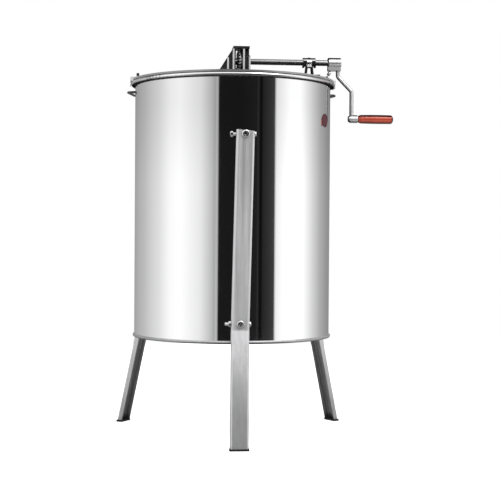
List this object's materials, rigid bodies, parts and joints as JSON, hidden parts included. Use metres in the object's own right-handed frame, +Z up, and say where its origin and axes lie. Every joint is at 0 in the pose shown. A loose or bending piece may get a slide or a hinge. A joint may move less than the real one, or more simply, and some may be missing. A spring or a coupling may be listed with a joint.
{
  "type": "honey extractor",
  "caption": "Hand-cranked honey extractor: polished steel drum on splayed legs, bevel-geared crank over the rim, spinning frame cage inside, hinged clear lids and an outlet gate.",
  "frame": {"origin": "on the floor under the drum's axis", "axes": "+Z up along the drum's axis, +X along the crank shaft towards the crank, -Y towards the front leg"},
  "size_m": [0.6714, 0.6102, 0.925],
  "materials": {
    "drum_steel": "mirror-polished stainless sheet",
    "rim_steel": "polished rolled bead",
    "sheet_steel": "satin",
    "leg_steel": "brushed lengthwise",
    "bar_steel": "satin",
    "rubber": "matte black",
    "fastener": "bright zinc",
    "dark_fastener": "black oxide",
    "cast_iron": "painted casting with worn edges",
    "gear_steel": "machined, oiled",
    "bronze": "sintered",
    "nylon": "moulded",
    "pillow_metal": "polished casting",
    "chrome_rod": "polished",
    "shaft_steel": "ground and polished",
    "crank_chrome": "plated",
    "grip_red": "moulded, glossy",
    "label_red": "plain printed label",
    "clear_lid": "clear acrylic",
    "hinge_steel": "satin",
    "cage_steel": "polished bar",
    "screen_steel": "woven wire",
    "gate_metal": "cast and machined"
  },
  "bodies": {
    "drum": {"drum_wall": "drum_steel", "rim_hoop": "rim_steel", "bottom_seam": "rim_steel", "drum_floor": "sheet_steel", "floor_brace": "sheet_steel", "bearing_cup": "gear_steel", "bottom_bush": "nylon", "thrust_ball": "gear_steel", "label": "label_red", "right_handle": "chrome_rod", "left_handle": "chrome_rod", "front_leg": "leg_steel", "right_leg": "leg_steel", "left_leg": "leg_steel", "front_foot": "rubber", "right_foot": "rubber", "left_foot": "rubber", "leg_screws": "fastener", "leg_lugs": "sheet_steel", "leg_cross_bolts": "fastener", "leg_nuts": "fastener", "crossbar": "bar_steel", "hold_down_brackets": "sheet_steel", "hold_down_bolts": "dark_fastener", "gear_yoke": "cast_iron", "bearing_bolts": "dark_fastener", "crossbar_nuts": "fastener", "top_bush": "nylon", "inner_crank_bushes": "bronze", "outer_crank_bush": "bronze", "pillow_block": "pillow_metal", "pillow_cap": "pillow_metal", "fixed_hinge_leaves": "hinge_steel", "hinge_pins": "hinge_steel", "gate_body": "gate_metal", "gate_gasket": "rubber", "gate_bolt": "fastener"},
    "cage": {"cage_shaft": "cage_steel", "pinion": "gear_steel", "cage_bottom_spider": "cage_steel", "cage_top_spider": "cage_steel", "cage_posts": "cage_steel", "guide_rods": "cage_steel", "front_screen": "screen_steel", "right_screen": "screen_steel", "left_screen": "screen_steel"},
    "crank": {"crank_shaft": "shaft_steel", "drive_gear": "gear_steel", "retaining_ring": "dark_fastener", "crank_hub": "crank_chrome", "wing_bolt": "crank_chrome", "crank_arm": "crank_chrome", "grip_spindle": "crank_chrome"},
    "grip": {"crank_grip": "grip_red"},
    "front_lid": {"front_lid": "clear_lid", "front_lid_leaves": "hinge_steel"},
    "rear_lid": {"rear_lid": "clear_lid", "rear_lid_leaves": "hinge_steel"},
    "gate": {"gate_plate": "gate_metal"},
    "gate_nut": {"gate_wing_nut": "gate_metal"}
  },
  "joints": [
    {"name": "cage_spin", "type": "hinge", "parent": "drum", "child": "cage", "pos_m": [0, 0, 0.545], "axis": [0, 0, 1], "continuous": true},
    {"name": "crank_spin", "type": "hinge", "parent": "drum", "child": "crank", "pos_m": [0.1, 0, 0.891], "axis": [1, 0, 0], "continuous": true},
    {"name": "grip_spin", "type": "hinge", "parent": "crank", "child": "grip", "pos_m": [0.35, 0, 0.756], "axis": [1, 0, 0], "continuous": true},
    {"name": "front_lid_hinge", "type": "hinge", "parent": "drum", "child": "front_lid", "pos_m": [0, -0.031, 0.846], "axis": [-1, 0, 0], "range_deg": [0, 95]},
    {"name": "rear_lid_hinge", "type": "hinge", "parent": "drum", "child": "rear_lid", "pos_m": [0, 0.031, 0.846], "axis": [1, 0, 0], "range_deg": [0, 95]},
    {"name": "gate_swing", "type": "hinge", "parent": "drum", "child": "gate", "pos_m": [-0.033, 0.2846, 0.267], "axis": [0, -1, 0], "range_deg": [0, 95]},
    {"name": "gate_nut_turn", "type": "hinge", "parent": "drum", "child": "gate_nut", "pos_m": [-0.033, 0.292, 0.267], "axis": [0, 1, 0], "continuous": true}
  ],
  "couplings": [
    {"joint": "crank_spin", "follows": "cage_spin", "ratio": 0.5}
  ]
}
